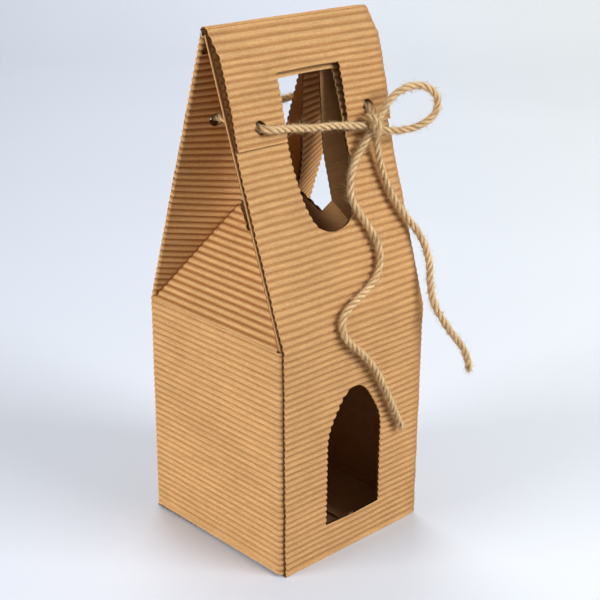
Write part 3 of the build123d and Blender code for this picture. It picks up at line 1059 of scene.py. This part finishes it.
class Twine:
    """Collects round strands and hairs, with how far out each point lies and its place on the strand."""

    def __init__(self):
        self.points = []
        self.faces = []
        self.outs = []
        self.flows = []

    def tube(self, line, radii, sides, core=None, seed=0.0):
        """A round tube along the line. core is the twine's own line, to tell the outside from the gaps."""
        first = len(self.points)
        along = 0.0
        for i, (place, pair, radius) in enumerate(zip(line, side_frames(line), radii)):
            if i:
                along += (place - line[i - 1]).length
            for k in range(sides):
                angle = math.tau * k / sides
                point = place + spoke(pair, angle) * radius
                self.points.append(point)
                # How far out a point lies sets its colour: painted shade in the gaps, painted highlight outside.
                out = (point - core[i]).length / (TWINE / 2 * MM) if core else 1.0
                self.outs.append(min(max((out - GAP_SHADE_SHARE) / (1 - GAP_SHADE_SHARE), 0), 1))
                self.flows.append((along, angle * radius, seed))
        for i in range(len(line) - 1):
            for k in range(sides):
                j = (k + 1) % sides
                a = first + i * sides
                self.faces.append((a + k, a + j, a + sides + j, a + sides + k))
        last = first + (len(line) - 1) * sides
        self.faces.append(tuple(first + k for k in reversed(range(sides))))
        self.faces.append(tuple(last + k for k in range(sides)))

    def hair(self, start, way, bend, reach, radius):
        """One loose fibre that bends away from its start."""
        line = []
        for k in range(len(HAIR_TAPER)):
            t = k / (len(HAIR_TAPER) - 1)
            line.append(start + (way * t + bend * t * t) * reach)
        self.tube(line, [radius * share for share in HAIR_TAPER], HAIR_SIDES)

    def make(self, name):
        return make_piece(name, self.points, self.faces, self.outs, self.flows)


def lay_strands(twine, line, frames, frayed, phase):
    """Strands laid round the line. They open over the frayed length at its end."""
    length = line_length(line)
    step = length / (len(line) - 1)
    for strand in range(STRANDS):
        strand_line, radii = [], []
        for i, (place, pair) in enumerate(zip(line, frames)):
            along = i * step
            angle = phase + math.tau * (along / (LAY * MM) + strand / STRANDS)
            angle += LAY_SWAY * noise.noise(Vector((along * 90, phase, 0.5)))
            open_end = smooth((along - length + frayed) / frayed) if frayed else 0.0
            reach = (TWINE / 2 - STRAND) * MM * (1.06 + 0.8 * open_end)
            strand_line.append(place + spoke(pair, angle) * reach)
            uneven = 1 + 0.09 * noise.noise(Vector((along * 260, strand * 7.3, phase)))
            radii.append(STRAND * MM * uneven * (1 - 0.3 * open_end))
        twine.tube(strand_line, radii, STRAND_SIDES, line, strand * 0.7 + phase)


def add_hairs(loose, line, frames):
    """Short fibres that stand off the twine all along it, most of them close to it."""
    for _ in range(int(line_length(line) / MM * HAIRS_PER_MM)):
        i = random.randrange(2, len(line) - 2)
        way = (line[i + 1] - line[i - 1]).normalized()
        out = spoke(frames[i], random.uniform(0, math.tau))
        start = line[i] + out * TWINE / 2 * MM * 0.9
        reach = (HAIR_SHORTEST + HAIR_RANGE * random.random() ** 2.0) * MM
        lean = way * random.uniform(-1.5, 1.5) + out * random.uniform(0.1, 0.7)
        bend = any_way(frames[i]) * 0.6 + way * random.uniform(-0.4, 0.4)
        loose.hair(start, lean, bend, reach, HAIR_RADIUS * MM)


def add_fray(loose, line, frames):
    """A tuft of fibres at the twine's open end."""
    way = (line[-1] - line[-4]).normalized()
    for _ in range(FRAY_FIBRES):
        out = spoke(frames[-1], random.uniform(0, math.tau))
        spread = random.uniform(0.1, 1.0)
        start = line[-1] - way * FRAY_ROOT * MM + out * spread * TWINE * 0.42 * MM
        bend = any_way(frames[-1]) * 0.35 + out * spread * 0.3
        loose.hair(start, way, bend, random.uniform(*FRAY_REACH) * MM, FRAY_RADIUS * MM)


jute_material = jute()


def twine_pieces(name, line, node, frayed=0.0, phase=0.0):
    """The strands along a line and their loose fibres. frayed is the length that opens at the end."""
    twine, loose = Twine(), Twine()
    frames = side_frames(line)
    lay_strands(twine, line, frames, frayed, phase)
    add_hairs(loose, line, frames)
    if frayed:
        add_fray(loose, line, frames)
    pieces = twine.make(name), loose.make(name + "_fibres")
    for piece in pieces:
        piece.data.materials.append(jute_material)
        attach(piece, "root")
        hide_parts(node)
    return pieces


def wrap_line(wrap):
    """One turn of the knot, as a ring that sways a little."""
    x_turn, y_turn, z_turn = (math.radians(angle) for angle in wrap["turn"])
    turn = Matrix.Rotation(z_turn, 3, "Z") @ Matrix.Rotation(y_turn, 3, "Y") @ Matrix.Rotation(x_turn, 3, "X")
    radius = wrap["radius"]
    line = []
    for k in range(WRAP_STEPS + 1):
        angle = wrap["start"] + math.tau * k / WRAP_STEPS
        ring = Vector((math.cos(angle) * radius, math.sin(angle) * radius, WRAP_SWAY * math.sin(angle)))
        line.append((KNOT + Vector(wrap["place"]) + turn @ ring) * MM)
    return line


def add_cord(name, route, node, far_end, lay, stiffness, with_pieces=(), **looks):
    line = even_points(route_points(route, name), STEP * MM)
    strands, fibres = twine_pieces(name, line, node, **looks)
    tuple(line[0])
    line_length(line)
    [tuple(p) for p in line]


knot_pieces = []
for i, wrap in enumerate(KNOT_WRAPS):
    knot_pieces += twine_pieces(f"knot_wrap_{i + 1}", wrap_line(wrap), "twine_knot", phase=i * 0.8)

add_cord("twine_through_holes", tie_route, "twine_tie", "knot", "taut", "limp", knot_pieces)
add_cord("twine_bow", loop_route, "twine_loop", "knot", "loose", "medium", phase=1.0)
add_cord("twine_tail_low", first_tail_route, "twine_tail_1", "bare", "hanging", "limp",
         frayed=FRAY * MM, phase=0.5)
add_cord("twine_tail_side", second_tail_route, "twine_tail_2", "bare", "hanging", "limp",
         frayed=FRAY * MM, phase=2.0)


# Floor, light and camera. The floor's sizes and the lamps' are in metres.

FLOOR_REACH = 4.0
FLOOR_FRONT = -3.0
FLOOR_BACK = 1.2
SWEEP_RADIUS = 0.9
SWEEP_STEPS = 12

# The camera's angles are in degrees, its places in millimetres, and its focal length in picture widths
CAMERA_AZIMUTH = 43.13
CAMERA_ELEVATION = 21.46
CAMERA_ROLL = 0.43
CAMERA_DISTANCE = 655.5
CAMERA_SHIFT = 6.31
CAMERA_TARGET = 118.8
CAMERA_FOCUS = 1311.8 / 600
SENSOR_WIDTH = 36.0

azimuth = math.radians(CAMERA_AZIMUTH)
elevation = math.radians(CAMERA_ELEVATION)
camera_back = Vector((math.sin(azimuth), math.cos(azimuth), 0))
camera_right = Vector((math.cos(azimuth), -math.sin(azimuth), 0))


def floor_material():
    """A pale ground with painted light, darker to the left and lighter to the right. Other surfaces see it as
    plain grey.
    """
    material, tree, shader = node_tree("pale_floor")
    clouds = noise_over(tree, own_place(tree), 3.0, 3.0, 0.5)
    cloud_tone = ramp(tree, clouds, [(0.3, (0.97, 0.97, 0.97)), (0.7, (1.0, 1.0, 1.0))])
    place = tree.nodes.new("ShaderNodeMapping")
    place.inputs["Rotation"].default_value = (0, 0, azimuth)
    place.inputs["Location"].default_value = (0.5, 0, 0)
    link(tree, own_place(tree), place.inputs["Vector"])
    across = tree.nodes.new("ShaderNodeSeparateXYZ")
    link(tree, place.outputs["Vector"], across.inputs["Vector"])
    # Painted light: the ground darkens to the left and lightens to the right.
    stops = [(0.0, (0.57, 0.61, 0.69)), (0.5, (0.77, 0.81, 0.90)), (1.0, (0.97, 1.0, 1.0))]
    seen = mix(tree, 1.0, ramp(tree, across.outputs["X"], stops), cloud_tone, "MULTIPLY")
    ray = tree.nodes.new("ShaderNodeLightPath").outputs["Is Camera Ray"]
    link(tree, mix(tree, ray, (0.42, 0.43, 0.45), seen), shader.inputs["Base Color"])
    shader.inputs["Roughness"].default_value = 0.6
    return material


def make_floor():
    """A flat ground that sweeps up into a wall behind the box, as seen from the camera."""
    profile = [(FLOOR_FRONT, 0.0), (FLOOR_BACK, 0.0)]
    for i in range(1, SWEEP_STEPS + 1):
        angle = math.pi / 2 * i / SWEEP_STEPS
        along = FLOOR_BACK + SWEEP_RADIUS * math.sin(angle)
        profile.append((along, SWEEP_RADIUS * (1 - math.cos(angle))))
    profile.append((FLOOR_BACK + SWEEP_RADIUS, FLOOR_REACH))
    points = []
    for along, z in profile:
        for x in (-FLOOR_REACH, FLOOR_REACH):
            points.append(camera_back * along + camera_right * x + Vector((0, 0, z)))
    faces = [(2 * i, 2 * i + 1, 2 * i + 3, 2 * i + 2) for i in range(len(profile) - 1)]
    mesh = bpy.data.meshes.new("floor")
    mesh.from_pydata(points, [], faces)
    mesh.polygons.foreach_set("use_smooth", [True] * len(faces))
    mesh.materials.append(floor_material())
    floor = bpy.data.objects.new("floor", mesh)
    bpy.context.collection.objects.link(floor)


def make_camera():
    away = Vector((0, 0, math.sin(elevation))) - camera_back * math.cos(elevation)
    target = camera_right * CAMERA_SHIFT + Vector((0, 0, CAMERA_TARGET))
    right = (-away).cross(Vector((0, 0, 1))).normalized()
    up = right.cross(-away)
    roll = math.radians(CAMERA_ROLL)
    turned_right = right * math.cos(roll) + up * math.sin(roll)
    turned_up = up * math.cos(roll) - right * math.sin(roll)
    matrix = Matrix((turned_right, turned_up, away)).transposed().to_4x4()
    matrix.translation = (target + away * CAMERA_DISTANCE) * MM
    data = bpy.data.cameras.new("camera")
    data.sensor_width = SENSOR_WIDTH
    data.lens = CAMERA_FOCUS * SENSOR_WIDTH
    camera = bpy.data.objects.new("camera", data)
    camera.matrix_world = matrix
    bpy.context.collection.objects.link(camera)
    bpy.context.scene.camera = camera


def area_light(name, place, aim, size, power, colour):
    data = bpy.data.lights.new(name, "AREA")
    data.shape = "RECTANGLE"
    data.size, data.size_y = size
    data.energy = power
    data.color = colour
    lamp = bpy.data.objects.new(name, data)
    lamp.location = place
    lamp.rotation_euler = (Vector(aim) - Vector(place)).to_track_quat("-Z", "Y").to_euler()
    bpy.context.collection.objects.link(lamp)


def make_world():
    """The light from all round, and the pale backdrop where the camera sees past the floor."""
    world = bpy.data.worlds.new("world")
    world.use_nodes = True
    tree = world.node_tree
    background = tree.nodes["Background"]
    background.inputs["Strength"].default_value = 1.0
    ray = tree.nodes.new("ShaderNodeLightPath").outputs["Is Camera Ray"]
    colour = mix(tree, ray, (0.18, 0.185, 0.19), (0.78, 0.82, 0.90))
    link(tree, colour, background.inputs["Color"])
    bpy.context.scene.world = world


make_floor()
make_camera()
area_light("left", (-1.65, 0.5, 0.6), (0, 0, 0.12), (0.9, 0.8), 26.5, (1.0, 0.99, 0.97))
area_light("front", (0.6, -1.5, 0.95), (0, 0, 0.12), (1.0, 0.9), 27.5, (1.0, 1.0, 1.0))
area_light("top", (0.1, 0.1, 2.0), (0, 0, 0.1), (1.3, 1.3), 5, (0.98, 0.99, 1.0))
area_light("rear", (0.9, 1.6, 1.5), (0, 0, 0.1), (1.6, 1.2), 22, (0.97, 0.99, 1.0))
make_world()
bpy.context.scene.view_settings.view_transform = "Standard"
